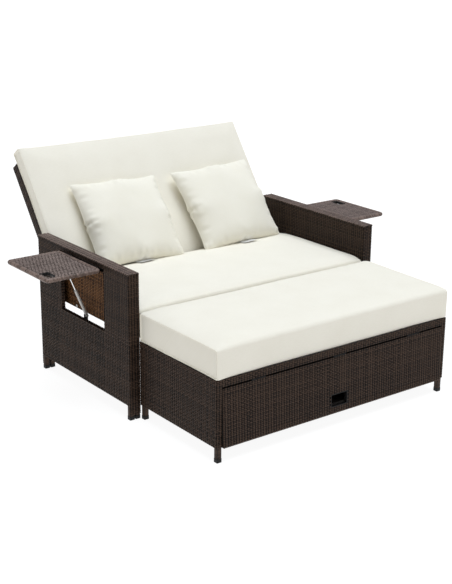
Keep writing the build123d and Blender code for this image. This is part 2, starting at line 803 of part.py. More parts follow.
def ottoman_cushion():
    depth = ottoman_depth - soft_gap
    cushion = boxed_cushion(ottoman_cushion_width, depth, ottoman_cushion_thickness, cushion_crown)
    return Pos(0, ottoman_front + depth / 2, ottoman_height) * cushion


# Flap: a tube frame and woven face hung from the top rail, drawn shut and then swung ajar

def flap_frame():
    """Four tubes round the edge and one beside each side of the hand hole."""
    y0 = ottoman_front + weave
    y1 = y0 + flap_tube
    bars = []
    for z0 in (skirt_height, flap_top - flap_leaf - flap_tube):
        bars.append(hollow_bar(-flap_half, flap_half, y0, y1, z0, z0 + flap_tube, "x"))
    low, high = skirt_height + flap_tube, flap_top - flap_leaf - flap_tube
    bars += both_sides([hollow_bar(-flap_half, -flap_half + flap_tube, y0, y1, low, high, "z")])
    near = hand_hole_width / 2 + hand_rim
    bars += both_sides([hollow_bar(-near - flap_tube, -near, y0, y1, low, high, "z")])
    return bars


def hand_hole(grow, y0, y1):
    """The block of the hand hole, made larger all round by grow."""
    z0 = skirt_height + hand_hole_bottom
    return block(-hand_hole_width / 2 - grow, hand_hole_width / 2 + grow, y0, y1, z0 - grow,
                 z0 + hand_hole_height + grow)


def flap_weave():
    panel = block(-flap_half, flap_half, ottoman_front, ottoman_front + weave, skirt_height,
                  flap_top - flap_leaf)
    return panel - hand_hole(hand_rim, ottoman_front - overrun, ottoman_front + weave + overrun)


def flap_rim():
    """The moulded rim of the hand hole."""
    rear = ottoman_front + hand_rim_depth
    outer = hand_hole(hand_rim, ottoman_front, rear)
    return outer - hand_hole(0, ottoman_front - overrun, rear + overrun)


def flap_hinge(moving):
    leaves = []
    for middle in (-flap_hinge_spread, 0, flap_hinge_spread):
        for x0, x1 in knuckle_row(middle, flap_knuckle_length, knuckle_gap, moving):
            barrel = rod_x(x0, x1, flap_axis_y, flap_axis_z, flap_knuckle)
            low = flap_axis_z - flap_leaf + (-flap_knuckle if moving else flap_knuckle)
            leaf = block(x0, x1, flap_axis_y, flap_axis_y + flap_leaf_depth, low, low + flap_leaf)
            if moving:
                web_top = flap_axis_z - flap_knuckle + flap_leaf_relief
                leaf = leaf + block(x0, x1, flap_axis_y, flap_axis_y + flap_knuckle, low, web_top)
            hole = rod_x(x0 - overrun, x1 + overrun, flap_axis_y, flap_axis_z, flap_pin + running_gap)
            leaves.append(barrel + leaf - hole)
    return leaves


def flap_pins():
    reach = 1.5 * flap_knuckle_length + knuckle_gap
    return [rod_x(middle - reach, middle + reach, flap_axis_y, flap_axis_z, flap_pin)
            for middle in (-flap_hinge_spread, 0, flap_hinge_spread)]


def flap_bumpers():
    """Rubber buttons on the front low rail that the hanging flap leans against."""
    z = skirt_height + bumper_rise
    drop = flap_axis_z - z
    face = ottoman_front + weave + flap_tube
    ajar = math.radians(flap_ajar)
    reach = (face - flap_axis_y) / math.cos(ajar) - drop * math.tan(ajar)
    front = flap_axis_y + reach + bumper_gap
    return both_sides([rod_y(-flap_half + flap_tube / 2, front, storage_front, z, bumper_radius)])


# Every piece under its name, and the files

def place_sofa():
    keep("arm_legs_left", *arm_legs())
    keep("arm_legs_right", *[mirrored(leg) for leg in arm_legs()])
    rails = [bolt_holes(rail) for rail in arm_rails()]
    keep("arm_rails_left", *rails)
    keep("arm_rails_right", *[mirrored(rail) for rail in rails])
    ends = [arm_end_weave(0), arm_end_weave(arm_depth - weave)]
    panels = {
        "arm_outer_weave": [arm_outer_weave()],
        "arm_inner_weave": [bolt_holes(arm_inner_weave())],
        "arm_top_weave": [arm_top_weave()],
        "arm_end_weave": ends,
    }
    for name, shapes in panels.items():
        keep(name + "_left", *shapes)
        keep(name + "_right", *[mirrored(shape) for shape in shapes])
    keep("sofa_foot_caps", *sofa_caps())
    keep("seat_frame", *seat_frame())
    keep("seat_side_bars", *side_bars())
    keep("seat_bolts", *seat_bolts())
    keep("seat_deck_weave", *seat_deck())
    keep("seat_cushion", seat_cushion())


def place_back():
    keep("back_frame", *[on_back(rail) for rail in back_rails()])
    keep("back_front_weave", on_back(back_face(-back_front)))
    keep("back_rear_weave", on_back(back_face(back_rail_rear)))
    keep("back_edge_weave", *[on_back(strip) for strip in back_edges()])
    keep("recline_upper_plates", *[on_back(plate) for plate in upper_plates()])
    keep("recline_pivot_bolts", *[on_back(bolt) for bolt in pivot_bolts()])
    keep("back_cushion", on_back(back_cushion()))
    keep("pillow_left", on_back(pillow(pillow_left_place_share * arm_inner, pillow_left_turn)))
    keep("pillow_right", on_back(pillow(pillow_right_place_share * arm_inner, pillow_right_turn)))


def place_trays():
    pairs = {
        "tray_frame": tray_ring(),
        "tray_weave": [tray_panel()],
        "tray_hinge_lugs": tray_hinge(True),
        "tray_stay_bracket": [stay_bracket()],
        "stay_cylinder": [stay_body()],
        "stay_rod": [stay_rod()],
    }
    for name, shapes in pairs.items():
        keep(name + "_left", *shapes)
        keep(name + "_right", *[turned(shape) for shape in shapes])
    groups = {
        "tray_hinge_leaves": tray_hinge(False),
        "tray_hinge_pins": tray_pins(),
        "stay_sill_brackets": [sill_bracket()],
        "stay_foot_pins": [foot_pin()],
    }
    for name, shapes in groups.items():
        keep(name, *shapes, *[turned(shape) for shape in shapes])


def place_ottoman():
    keep("ottoman_legs", *ottoman_legs())
    keep("ottoman_top_rails", *ottoman_top_rails())
    keep("ottoman_low_rails", *ottoman_low_rails())
    keep("ottoman_side_weave", *both_sides([ottoman_side_weave()]))
    keep("ottoman_rear_weave", ottoman_rear_weave())
    keep("ottoman_front_band", ottoman_front_band())
    keep("ottoman_deck_weave", ottoman_deck())
    keep("ottoman_storage_floor", ottoman_floor())
    keep("ottoman_foot_caps", *ottoman_caps())
    keep("ottoman_cushion", ottoman_cushion())
    keep("flap_bumpers", *flap_bumpers())
    keep("flap_hinge_leaves", *flap_hinge(False))
    keep("flap_hinge_pins", *flap_pins())
    keep("flap_frame", *[on_flap(bar) for bar in flap_frame()])
    keep("flap_weave", on_flap(flap_weave()))
    keep("flap_hand_rim", on_flap(flap_rim()))
    keep("flap_hinge_lugs", *[on_flap(lug) for lug in flap_hinge(True)])


def write_parts():
    os.makedirs("parts", exist_ok=True)
    for name, solids in parts.items():
        moved = [Pos(0, row_shift, 0) * solid for solid in solids]
        group = moved[0] if len(moved) == 1 else Compound(children=moved)
        export_step(group, os.path.join("parts", name + ".step"))


place_sofa()
place_back()
place_trays()
place_ottoman()
write_parts()
print("nodes", len(parts), "stay open", round(stay_open, 1), "closed", round(stay_closed, 1))
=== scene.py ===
import math

import bpy
import numpy as np
from mathutils import Matrix, Vector, noise


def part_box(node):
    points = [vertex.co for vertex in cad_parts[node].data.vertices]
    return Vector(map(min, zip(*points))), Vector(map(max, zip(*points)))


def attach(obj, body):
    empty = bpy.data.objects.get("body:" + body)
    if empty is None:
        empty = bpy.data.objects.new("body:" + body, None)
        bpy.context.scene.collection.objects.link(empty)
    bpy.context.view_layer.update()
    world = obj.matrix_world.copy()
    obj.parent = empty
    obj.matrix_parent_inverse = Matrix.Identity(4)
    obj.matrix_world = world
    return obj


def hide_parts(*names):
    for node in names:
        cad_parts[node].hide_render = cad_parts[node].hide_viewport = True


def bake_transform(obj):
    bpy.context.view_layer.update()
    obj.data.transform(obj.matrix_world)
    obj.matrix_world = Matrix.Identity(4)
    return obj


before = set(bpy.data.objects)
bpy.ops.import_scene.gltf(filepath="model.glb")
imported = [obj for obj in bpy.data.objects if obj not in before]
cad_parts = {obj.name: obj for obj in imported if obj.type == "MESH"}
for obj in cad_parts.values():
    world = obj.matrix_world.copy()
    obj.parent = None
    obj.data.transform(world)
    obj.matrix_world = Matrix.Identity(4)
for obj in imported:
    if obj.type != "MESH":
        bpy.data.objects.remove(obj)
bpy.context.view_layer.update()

# Looks of the double chaise lounger. Places and sizes are in millimetres from the arms' front,
# as in the CAD source, and become metres in the row frame when a piece is made. Materials and
# what is done to finished meshes are in metres.

scene = bpy.context.scene
random = np.random.default_rng(7)
row_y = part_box("arm_end_weave_left")[0].y * 1000

tiny = 1e-9
weft_pitch = 6.8
warp_pitch = 12.0
weft_share = 0.86
warp_share = 0.62
strand_wave = 1.6
strand_crown = 0.85
# The backing is a dark sheet behind the strands; its darkness, set by its tone and its low rise
# value, is painted shade in the gaps between them.
backing_depth = 1.6
backing_tone = 0.4
backing_shade_by_lift = -0.7
corner_round = 1.6
tight_round = 0.9
edge_round = 2.2
turn_steps = 4

# The bake map: wefts and backing lie left of its middle, warps right of it, and each strand
# fills its own band but for a gap.
map_half = 0.49
warp_map = 0.51
band_half = 0.45

wound_lift = 0.9
# The wound strands' level of painted shade: fairly light all round, with no dips.
wound_shade_by_lift = 0.6
wound_steps = 4
leg_half = 9.0
leg_sides = 16
leg_foot = 14.0

lean = math.radians(36.5)
pivot = np.array((0.0, 589.0, 335.0))
back_right = np.array((1.0, 0.0, 0.0))
back_behind = np.array((0.0, math.cos(lean), -math.sin(lean)))
back_up = np.array((0.0, math.sin(lean), math.cos(lean)))

across_x = np.array((1.0, 0.0, 0.0))
along_y = np.array((0.0, 1.0, 0.0))
up_z = np.array((0.0, 0.0, 1.0))
no_shift = np.array((0.0, 0.0, 0.0))
row_axes = (no_shift, across_x, along_y, up_z)
back_axes = (pivot, back_right, back_behind, back_up)


def to_row(points):
    """Millimetres from the arms' front turned into metres in the row frame."""
    moved = np.array(points, float)
    moved[..., 1] += row_y
    return moved / 1000


def shift_to(spot):
    return Matrix.Translation(Vector(to_row(spot)))


def add_object(name, data):
    made = bpy.data.objects.new(name, data)
    scene.collection.objects.link(made)
    return made


# Materials


class Look:
    """A new node material round one Principled shader, with short calls that wire it."""

    def __init__(self, name):
        self.material = bpy.data.materials.new(name)
        self.material.use_nodes = True
        self.nodes = self.material.node_tree.nodes
        self.links = self.material.node_tree.links
        self.shader = self.nodes["Principled BSDF"]

    def feed(self, socket, value):
        """Sets the socket to a number, or links another node's output to it."""
        if isinstance(value, (int, float)):
            socket.default_value = value
        else:
            self.links.new(value, socket)

    def node(self, kind, *values, **named):
        """A new node, its inputs fed in order or by name."""
        node = self.nodes.new(kind)
        for socket, value in zip(node.inputs, values):
            self.feed(socket, value)
        for word, value in named.items():
            self.feed(node.inputs[word], value)
        return node

    def maths(self, operation, *values):
        node = self.node("ShaderNodeMath", *values)
        node.operation = operation
        return node.outputs[0]

    def times(self, first, second):
        return self.maths("MULTIPLY", first, second)

    def plus(self, first, second):
        return self.maths("ADD", first, second)

    def minus(self, first, second):
        return self.maths("SUBTRACT", first, second)

    def ripple(self, value, rate):
        return self.maths("SINE", self.times(value, rate))

    def vector(self, *values):
        return self.node("ShaderNodeCombineXYZ", *values).outputs[0]

    def split(self, vector):
        return self.node("ShaderNodeSeparateXYZ", vector).outputs

    def place(self):
        """Each point's place in the piece's own metres."""
        return self.node("ShaderNodeTexCoord").outputs["Object"]

    def attribute(self, name, output):
        node = self.node("ShaderNodeAttribute")
        node.attribute_name = name
        return node.outputs[output]

    def scatter(self, vector, scale, detail=3.0, rough=0.5):
        """A noise texture over the vector. Returns its value."""
        node = self.node("ShaderNodeTexNoise", Vector=vector, Scale=scale, Detail=detail,
                         Roughness=rough)
        return node.outputs["Fac"]

    def colour(self, value, *stops):
        """Colours the surface by a ramp over value, with (place, colour) stops."""
        node = self.node("ShaderNodeValToRGB", value)
        elements = node.color_ramp.elements
        while len(elements) < len(stops):
            elements.new(0.5)
        for element, (spot, shade) in zip(elements, stops):
            element.position = spot
            element.color = (*shade, 1)
        self.links.new(node.outputs[0], self.shader.inputs["Base Color"])

    def bump(self, height, strength, distance):
        node = self.node("ShaderNodeBump", Height=height, Strength=strength, Distance=distance)
        self.links.new(node.outputs[0], self.shader.inputs["Normal"])

    def surface(self, word, value):
        """Feeds the shader's own socket."""
        self.feed(self.shader.inputs[word], value)


def wicker(name, dark, middle, light, roughness, gloss_level):
    """Moulded flat strand: streaks along it, fine ribs and a tone of its own, with painted shade
    where it dips under a crossing strand and along its edges. The attribute lay holds metres
    along the strand, -1 to 1 across it and its number; a second attribute holds the strand's rise,
    which paints the shade."""
    look = Look(name)
    along, across, own = look.split(look.attribute("lay", "Vector"))
    shade_by_lift = look.attribute("shade_by_lift", "Fac")
    far = look.times(own, 37.0)
    streaks = look.scatter(look.vector(look.times(along, 16.0), look.times(across, 1.1), far),
                           1.0, 4.0, 0.65)
    patches = look.scatter(look.vector(look.times(along, 5.0), far, 0.0), 1.0, 2.0)
    tone = look.times(own, 0.32)
    # Painted shade: the strand's rise makes it lighter on its humps and darker in the dips under
    # crossing strands.
    for layer, share in ((streaks, 0.62), (patches, 0.36), (shade_by_lift, 0.42)):
        tone = look.plus(tone, look.times(layer, share))
    # Painted shade: each strand darkens towards its edges, where shade falls between strands.
    tone = look.minus(tone, look.times(look.times(across, across), 0.16))
    look.colour(look.minus(tone, 0.12), (0.22, dark), (0.5, middle), (0.82, light))
    ribs = look.times(look.ripple(across, 11.0), 0.3)
    grain = look.scatter(look.vector(look.times(along, 90.0), look.times(across, 5.0), far),
                         1.0, 2.0)
    look.bump(look.plus(ribs, grain), 0.35, 0.0006)
    look.surface("Roughness", look.plus(look.times(grain, 0.22), roughness - 0.1))
    look.surface("Specular IOR Level", gloss_level)
    return look.material


def flat_weave(name, dark, light, warp=0.013, weft=0.008):
    """The hidden decks: the same weave drawn in the surface."""
    look = Look(name)
    place = look.place()
    x, y, z = look.split(place)
    second = look.plus(y, z)
    height = look.times(look.ripple(x, math.pi / warp), look.ripple(second, math.pi / weft))
    tone = look.plus(look.times(height, 0.25), look.scatter(place, 60.0))
    look.colour(tone, (0.3, dark), (0.75, light))
    look.bump(height, 0.6, 0.001)
    look.surface("Roughness", 0.48)
    return look.material


def fabric(name, colour, deep, thread=0.0011, bump=0.35):
    """Plain-woven polyester canvas: crossing threads, slubs and a soft sheen."""
    look = Look(name)
    place = look.place()
    x, y, z = look.split(place)
    second = look.plus(y, look.times(z, 0.83))
    threads = look.times(look.ripple(x, math.pi / thread), look.ripple(second, math.pi / thread))
    slubs = look.scatter(look.vector(look.times(x, 60.0), look.times(second, 420.0), 0.0), 1.0)
    mottle = look.scatter(place, 9.0)
    tone = look.plus(look.times(slubs, 0.55), look.times(mottle, 0.45))
    look.colour(tone, (0.3, deep), (0.62, colour))
    look.bump(look.plus(look.times(threads, 0.35), slubs), bump, 0.0004)
    look.surface("Roughness", 0.92)
    look.surface("Specular IOR Level", 0.25)
    look.surface("Sheen Weight", 0.12)
    look.surface("Sheen Roughness", 0.5)
    return look.material


def coated(name, colour, roughness, metallic=0.0, grain=500.0, bump=0.15, spread=0.25,
           gloss_level=0.5):
    """A moulded, painted or plated surface with a fine grain and a slightly uneven tone."""
    look = Look(name)
    place = look.place()
    fine = look.scatter(place, grain, 2.0)
    broad = look.scatter(place, 14.0)
    low = tuple(part * (1 - spread) for part in colour)
    high = tuple(min(1.0, part * (1 + spread)) for part in colour)
    look.colour(broad, (0.3, low), (0.7, high))
    look.surface("Roughness", look.plus(look.times(broad, 0.16), roughness - 0.08))
    look.bump(fine, bump, 0.0003)
    look.surface("Metallic", metallic)
    look.surface("Specular IOR Level", gloss_level)
    return look.material


brown_wicker = wicker("brown_wicker", (0.002, 0.0014, 0.001), (0.0105, 0.0062, 0.0043),
                      (0.066, 0.040, 0.027), 0.48, 0.15)
# Painted light: the arm tops and tray rims use the brown weave drawn lighter, as painted sheen
# where light falls on tops.
top_wicker = wicker("top_wicker", (0.004, 0.003, 0.002), (0.046, 0.031, 0.024),
                    (0.23, 0.165, 0.14), 0.4, 0.3)
tray_wicker = wicker("tray_wicker", (0.024, 0.016, 0.013), (0.100, 0.072, 0.063),
                     (0.25, 0.19, 0.17), 0.4, 0.3)
# Painted light: the weave lining each arm's inside, seen through the window, is drawn warm
# orange-brown for the light on it.
lining_wicker = wicker("lining_wicker", (0.003, 0.0012, 0.0006), (0.028, 0.011, 0.004),
                       (0.21, 0.10, 0.042), 0.55, 0.1)
deck_weave = flat_weave("deck_weave", (0.014, 0.009, 0.008), (0.060, 0.040, 0.031))
ivory_cloth = fabric("ivory_cloth", (0.925, 0.892, 0.79), (0.885, 0.848, 0.74))
cream_cloth = fabric("cream_cloth", (0.945, 0.915, 0.81), (0.92, 0.885, 0.765))
tag_cloth = fabric("tag_cloth", (0.94, 0.94, 0.93), (0.86, 0.86, 0.87), 0.0006, 0.2)
seam_cloth = fabric("seam_cloth", (0.88, 0.845, 0.74), (0.83, 0.79, 0.68), 0.0008, 0.3)
frame_paint = coated("frame_paint", (0.010, 0.007, 0.006), 0.6, gloss_level=0.3)
black_plastic = coated("black_plastic", (0.006, 0.0055, 0.0055), 0.5, grain=900.0,
                       gloss_level=0.25)
black_rubber = coated("black_rubber", (0.009, 0.009, 0.009), 0.75, gloss_level=0.25)
zinc = coated("zinc", (0.52, 0.52, 0.50), 0.38, 0.95, 260.0, 0.1, 0.12)
bright_steel = coated("bright_steel", (0.78, 0.78, 0.78), 0.14, 1.0, 1500.0, 0.03, 0.05)
grey_paint = coated("grey_paint", (0.46, 0.45, 0.43), 0.4, 0.25, 700.0, 0.06, 0.12)
storage_board = coated("storage_board", (0.035, 0.028, 0.024), 0.7, 0.0, 240.0, 0.4)

slot_finish = {
    "dark_frame": frame_paint,
    "brown_weave": deck_weave,
    "tray_weave": deck_weave,
    "ivory_cloth": ivory_cloth,
    "cream_cloth": cream_cloth,
    "zinc_steel": zinc,
    "bright_rod": bright_steel,
    "grey_cylinder": grey_paint,
    "dark_plastic": black_plastic,
    "black_rubber": black_rubber,
    "storage_board": storage_board,
}


def finish_cad_nodes():
    """Gives each CAD node its finish. The flap's zinc hinges are drawn black here as painted
    shade, so that the gap at the flap's top stays dark all along.
    """
    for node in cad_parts.values():
        slots = node.data.materials
        for index, material in enumerate(slots):
            slots[index] = slot_finish[material.name.split(".")[0]]
            # Painted shade: the hinges are drawn black so the gap at the flap's top stays dark.
            if "flap_hinge" in node.name:
                slots[index] = black_rubber


# Pieces from arrays of points


def unit(vectors):
    return vectors / np.linalg.norm(vectors, axis=-1, keepdims=True)


def stacked(*parts):
    """The parts, spread to one shape, side by side in a new last axis."""
    return np.stack(np.broadcast_arrays(*parts), -1)


def grid_faces(shape, kept=None, flip=False):
    """Quads of a stack of point grids shaped (stack, along, across). kept says which stay."""
    number = np.arange(np.prod(shape)).reshape(shape)
    quads = np.stack((number[:, :-1, :-1], number[:, 1:, :-1],
                      number[:, 1:, 1:], number[:, :-1, 1:]), -1)
    if kept is not None:
        quads = quads[kept]
    quads = quads.reshape(-1, 4)
    return quads[:, ::-1] if flip else quads


def make_piece(name, points, quads, material, lay=None, flat=None, shade_by_lift=None):
    """A smooth mesh object from row-frame points, with the strands' lay, bake map and the rise
    that paints their shade.
    """
    used, quads = np.unique(quads, return_inverse=True)
    quads = quads.reshape(-1, 4)
    points = points.reshape(-1, 3)[used]
    mesh = bpy.data.meshes.new(name)
    mesh.vertices.add(len(points))
    mesh.vertices.foreach_set("co", points.astype(np.float32).ravel())
    mesh.loops.add(quads.size)
    mesh.loops.foreach_set("vertex_index", quads.astype(np.int32).ravel())
    mesh.polygons.add(len(quads))
    mesh.polygons.foreach_set("loop_start", np.arange(0, quads.size, 4, dtype=np.int32))
    mesh.update(calc_edges=True)
    mesh.polygons.foreach_set("use_smooth", np.ones(len(quads), bool))
    if lay is not None:
        values = lay.reshape(-1, 3)[used].astype(np.float32)
        attribute = mesh.attributes.new("lay", "FLOAT_VECTOR", "POINT")
        attribute.data.foreach_set("vector", values.ravel())
        values = shade_by_lift.ravel()[used].astype(np.float32)
        attribute = mesh.attributes.new("shade_by_lift", "FLOAT", "POINT")
        attribute.data.foreach_set("value", values)
        spots = flat.reshape(-1, 2)[used][quads.ravel()].astype(np.float32)
        mesh.uv_layers.new(name="OFBake").data.foreach_set("uv", spots.ravel())
    mesh.validate()
    mesh.materials.append(material)
    return add_object(name, mesh)


def merge_layers(name, layers, faces, material):
    """One piece of several layers, each its points, lay, bake map and the rise that paints its
    shade.
    """
    begun, quads = 0, []
    for layer, own_faces in zip(layers, faces):
        quads.append(own_faces + begun)
        begun += layer[0][..., 0].size
    points, lay, flat = (np.concatenate([layer[part].reshape(-1, wide) for layer in layers])
                         for part, wide in enumerate((3, 3, 2)))
    shade_by_lift = [np.broadcast_to(layer[3], layer[0].shape[:-1]).ravel() for layer in layers]
    return make_piece(name, points, np.concatenate(quads), material, lay, flat,
                      np.concatenate(shade_by_lift))


# Weave: strands that really pass over and under each other


def rounded_path(corners, radius=corner_round, closed=False):
    """A line through flat corners with rounded turns: points, normals to the right, lengths."""
    corners = [np.array(corner, float) for corner in corners]
    points, normals = [], []
    for index, corner in enumerate(corners):
        if not closed and index in (0, len(corners) - 1):
            next_one = max(index, 1)
            step = unit(corners[next_one] - corners[next_one - 1])
            points.append(corner)
            normals.append(np.array((step[1], -step[0])))
            continue
        before = unit(corner - corners[index - 1])
        after = unit(corners[(index + 1) % len(corners)] - corner)
        turn = math.atan2(before[0] * after[1] - before[1] * after[0], before @ after)
        side = math.copysign(1, turn)
        left = np.array((-before[1], before[0]))
        centre = corner - before * radius * math.tan(abs(turn) / 2) + side * left * radius
        for step in range(turn_steps + 1):
            c, s = math.cos(turn * step / turn_steps), math.sin(turn * step / turn_steps)
            normal = np.array((-left[0] * c + left[1] * s, -left[0] * s - left[1] * c))
            points.append(centre + side * radius * normal)
            normals.append(normal)
    if closed:
        points.append(points[0])
        normals.append(normals[0])
    points, normals = np.array(points), np.array(normals)
    steps = np.linalg.norm(np.diff(points, axis=0), axis=1)
    return points, normals, np.concatenate(([0], np.cumsum(steps)))


def lengths_at(path, *spots):
    """How far along the path its nearest points to the spots are."""
    points, _, lengths = path
    steps = np.diff(points, axis=0)
    found = []
    for spot in spots:
        shares = ((spot - points[:-1]) * steps).sum(1) / np.maximum((steps ** 2).sum(1), tiny)
        shares = np.clip(shares, 0, 1)
        gaps = np.linalg.norm(points[:-1] + shares[:, None] * steps - spot, axis=1)
        nearest = gaps.argmin()
        found.append(lengths[nearest] + shares[nearest] * np.linalg.norm(steps[nearest]))
    return found


def sample(path, wanted):
    """Places on the path and the normals there, at the wanted lengths along it."""
    points, normals, lengths = path
    place, facing = (stacked(*(np.interp(wanted, lengths, values[:, i]) for i in (0, 1)))
                     for values in (points, normals))
    return place, unit(facing)


def snapped(line, marks):
    """The line of rising numbers with its nearest ones moved onto the marks."""
    line = np.array(line)
    for mark in marks:
        line[np.argmin(np.abs(line - mark))] = mark
    return line


def in_space(axes, place, facing, lift, level):
    """Row-frame points from flat path places, moved out by lift and up to level."""
    origin, first, second, third = axes
    flat = place + facing * lift[..., None]
    spots = origin + flat[..., :1] * first + flat[..., 1:] * second + level[..., None] * third
    return to_row(spots)


def woven(name, path, low, high, axes, material, kept=None, marks=(), levels=(),
          pitch=(weft_pitch, warp_pitch)):
    """A sheet of weave that faces right of its path: wefts run along the path, warps from low
    to high. Crossings are moved onto the marks along the path and onto the levels."""
    total = path[2][-1]
    columns = 2 * max(1, round(total / pitch[1] / 2))
    rows = max(1, round((high - low) / pitch[0]))
    along = snapped(np.linspace(0, total, 2 * columns + 1), marks)
    edges = snapped(np.linspace(low, high, rows + 1), levels)
    middles = (edges[:-1] + edges[1:]) / 2
    mid_along = (along[:-1] + along[1:]) / 2
    held = np.ones((rows, 2 * columns), bool)
    if kept is not None:
        held = kept(*np.broadcast_arrays(mid_along, middles[:, None]))
    over = 1.0 - 2.0 * ((np.arange(rows)[:, None] + np.arange(columns)) % 2)
    across = np.array((-1.0, 0.0, 1.0))
    crown = -strand_crown * np.abs(across)

    def strand_share(count):
        """Each strand's own band of the bake map."""
        return (np.arange(count)[:, None, None] + 0.5 + band_half * across) / count

    lift = np.zeros((rows, 2 * columns + 1, 1))
    lift[:, 1::2, 0] = over * strand_wave
    place, facing = sample(path, along)
    half = (edges[1:] - edges[:-1]) * weft_share / 2
    level = middles[:, None, None] + half[:, None, None] * across
    run = along[:, None]
    own = random.random(rows)[:, None, None]
    # Each layer: points, lay, bake map, and the strand's rise, which paints shade into its dips.
    wefts = (in_space(axes, place[:, None], facing[:, None], lift + crown, level),
             stacked(run / 1000, across, own),
             stacked(map_half * run / total, strand_share(rows)),
             lift / strand_wave)

    heights = np.empty(2 * rows + 1)
    heights[0::2], heights[1::2] = edges, middles
    lift = np.zeros((columns, 2 * rows + 1, 1))
    lift[:, 1::2, 0] = -over.T * strand_wave
    half = (total / columns) * warp_share / 2
    place, facing = sample(path, np.clip(along[1::2][:, None] + half * across, 0, total))
    level = heights[:, None]
    own = random.random(columns)[:, None, None]
    warps = (in_space(axes, place[:, None], facing[:, None], lift + crown, level),
             stacked(level / 1000, across, own),
             stacked(warp_map + map_half * strand_share(columns), (level - low) / (high - low)),
             lift / strand_wave)

    # The backing: a sheet behind the strands, darkened as painted shade in the gaps between them.
    place, facing = sample(path, along)
    run, level = np.broadcast_arrays(along[:, None], edges)
    backing = (in_space(axes, place[:, None], facing[:, None], 0 * level - backing_depth, level),
               stacked(run / 1000, 0.0, backing_tone),
               stacked(map_half * run / total, (level - low) / (high - low)),
               backing_shade_by_lift)

    handed = np.linalg.det(np.stack(axes[1:])) < 0
    both = np.repeat((held[:, 0::2] & held[:, 1::2]).T, 2, axis=1)
    faces = (grid_faces(wefts[0].shape[:3], held, handed),
             grid_faces(warps[0].shape[:3], both, not handed),
             grid_faces((1,) + level.shape, held.T[None], not handed))
    return merge_layers(name, (wefts, warps, backing), faces, material)


def wrapped(name, path, axes, half, around, material, square=False, pitch=weft_pitch,
            lift=wound_lift):
    """A bar along a flat path, with a strand wound round it in flat turns."""
    total = path[2][-1]
    turns = max(2, round(total / pitch))
    steps = np.linspace(0, turns, wound_steps * turns + 1)
    angles = np.linspace(0, 2 * math.pi, around + 1)
    reach = half
    if square:
        angles = angles + math.pi / around
        reach = half / (np.abs(np.cos(angles)) ** 8 + np.abs(np.sin(angles)) ** 8) ** 0.125
    wind = steps[:, None] + angles / (2 * math.pi)
    turn = np.floor(wind + tiny)
    share = np.clip(wind - turn, 0, 1)
    radius = reach + lift * (1 - np.abs(2 * share - 1) ** 3)
    place, facing = sample(path, steps * total / turns)
    points = in_space(axes, place[:, None], facing[:, None], radius * np.cos(angles),
                      radius * np.sin(angles))
    own = random.random(turns + 3)[turn.astype(int)]
    lay = stacked(angles * half / 1000 + wind * 0.05, 2 * share - 1, own)
    flat = stacked(steps[:, None] / turns, (angles - angles[0]) / (2 * math.pi))
    quads = grid_faces((1,) + radius.shape)
    # Every turn gets the same level of painted shade.
    return make_piece(name, points, quads, material, lay, flat,
                      np.full(radius.shape, wound_shade_by_lift))


def wrapped_leg(name, x, y, top):
    """A square leg wound from its foot cap to top."""
    return wrapped(name, rounded_path([(leg_foot, 0.0), (top, 0.0)]),
                   (np.array((x, y, 0.0), float), up_z, across_x, along_y), leg_half, leg_sides,
                   brown_wicker, True)


def capped(far, near, low, high):
    """A path up over an edge from its far side to its near side."""
    return rounded_path([(far, low), (far, high), (near, high), (near, low)], edge_round)


# Arms


def dress_arm(side, hand):
    """One arm's woven skin. side is -1 on the left and 1 on the right."""
    near, far, front, rear = 558.4, 606.1, 0.9, 670.1
    low, high, outer_low, inner_low = 20.0, 573.5, 56.0, 322.0
    top_length, leg_top = 671.0, 62.0
    window_front, window_rear, sill, window_top = 171.0, 492.0, 308.0, 554.0
    reveal_near, reveal_far, reveal_inset, reveal_round = 591.0, 606.8, 1.5, 3.0
    lining_x, lining_front, lining_rear, lining_low, lining_high = 572.1, 24.0, 647.0, 323.0, 521.0
    leg_places = [(570, 12), (595, 12), (570, 659), (595, 659)]
    axes = (no_shift, side * across_x, along_y, up_z)
    corners = [(near, rear), (near, front), (far, front), (far, rear)]
    ring = rounded_path(corners, tight_round, True)
    rear_in, front_in, front_out, rear_out = lengths_at(ring, (near, rear - corner_round),
                                                        *corners[1:])
    window = lengths_at(ring, (far, window_front), (far, window_rear))

    def kept(s, z):
        inner = (s > rear_in) & (s < front_in)
        outer = (s > front_out) & (s < rear_out)
        opening = (s > window[0]) & (s < window[1]) & (z > sill) & (z < window_top)
        return ~(inner & (z < inner_low)) & ~(outer & (z < outer_low)) & ~opening

    skin = woven("arm_skin_" + hand, ring, low, high, axes, brown_wicker, kept,
                 [front_in, front_out, rear_out] + window,
                 [outer_low, sill, inner_low, window_top])
    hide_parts("arm_outer_weave_" + hand, "arm_inner_weave_" + hand, "arm_end_weave_" + hand)

    over = capped(far=607.0, near=558.0, low=568.0, high=574.3)
    top_axes = (no_shift, side * across_x, up_z, along_y)
    top = woven("arm_top_" + hand, over, 0.0, top_length, top_axes, top_wicker)
    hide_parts("arm_top_weave_" + hand)

    side_axes = (no_shift, along_y, up_z, side * across_x)
    begins, ends = window_rear - reveal_inset, window_front + reveal_inset
    bottom = sill + reveal_inset
    frame_path = rounded_path([(begins, window_top), (begins, bottom), (ends, bottom),
                               (ends, window_top)], reveal_round)
    reveal = woven("window_reveal_" + hand, frame_path, reveal_near, reveal_far, side_axes,
                   brown_wicker)
    # The lining's orange-brown is painted light on the inner weave seen through the window.
    lining_axes = (no_shift, along_y, side * across_x, up_z)
    lining_path = rounded_path([(lining_rear, lining_x), (lining_front, lining_x)])
    lining = woven("arm_lining_" + hand, lining_path, lining_low, lining_high, lining_axes,
                   lining_wicker)
    legs = [wrapped_leg(f"arm_leg_wrap_{hand}_{index}", side * x, y, leg_top)
            for index, (x, y) in enumerate(leg_places)]
    for piece in (skin, top, reveal, lining, *legs):
        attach(piece, "sofa")


# Trays


